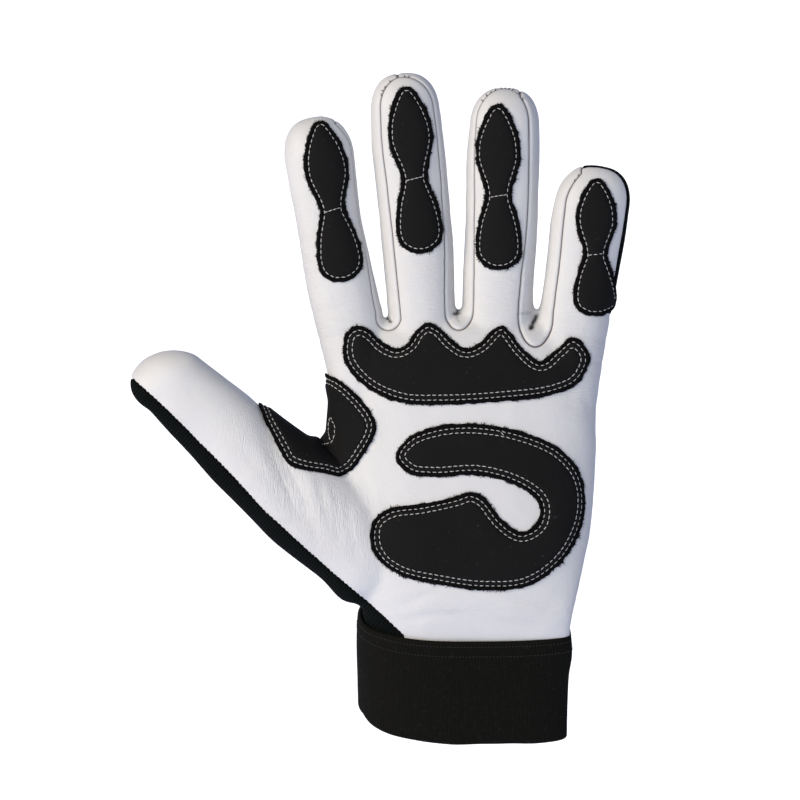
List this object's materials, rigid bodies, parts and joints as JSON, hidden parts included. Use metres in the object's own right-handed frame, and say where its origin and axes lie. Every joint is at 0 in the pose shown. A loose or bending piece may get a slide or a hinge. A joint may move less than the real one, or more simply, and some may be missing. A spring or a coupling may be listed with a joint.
{
  "type": "gardening glove",
  "caption": "Left-hand work glove: smooth leather palm with sewn finger sides, knitted back, elastic cuff and padded grip patches.",
  "frame": {"origin": "centre of the wrist opening, in the plane of the cuff's rim", "axes": "+Z along the middle finger, -Y out of the palm, +X from the thumb to the little finger"},
  "size_m": [0.169, 0.0672, 0.2264],
  "materials": {
    "leather": "smooth white glove leather with a fine grain",
    "knit": "black ribbed knit",
    "elastic": "black woven elastic with fine vertical ribs",
    "pad": "matte charcoal pad with a frayed felt edge"
  },
  "bodies": {
    "root": {"palm_leather": "leather", "fourchette_index_middle": "leather", "fourchette_middle_ring": "leather", "fourchette_ring_little": "leather", "back_knit": "knit", "cuff_band": "elastic", "patch_index": "pad", "patch_middle": "pad", "patch_ring": "pad", "patch_little": "pad", "patch_knuckle": "pad", "patch_palm": "pad", "patch_web": "pad"}
  },
  "joints": []
}
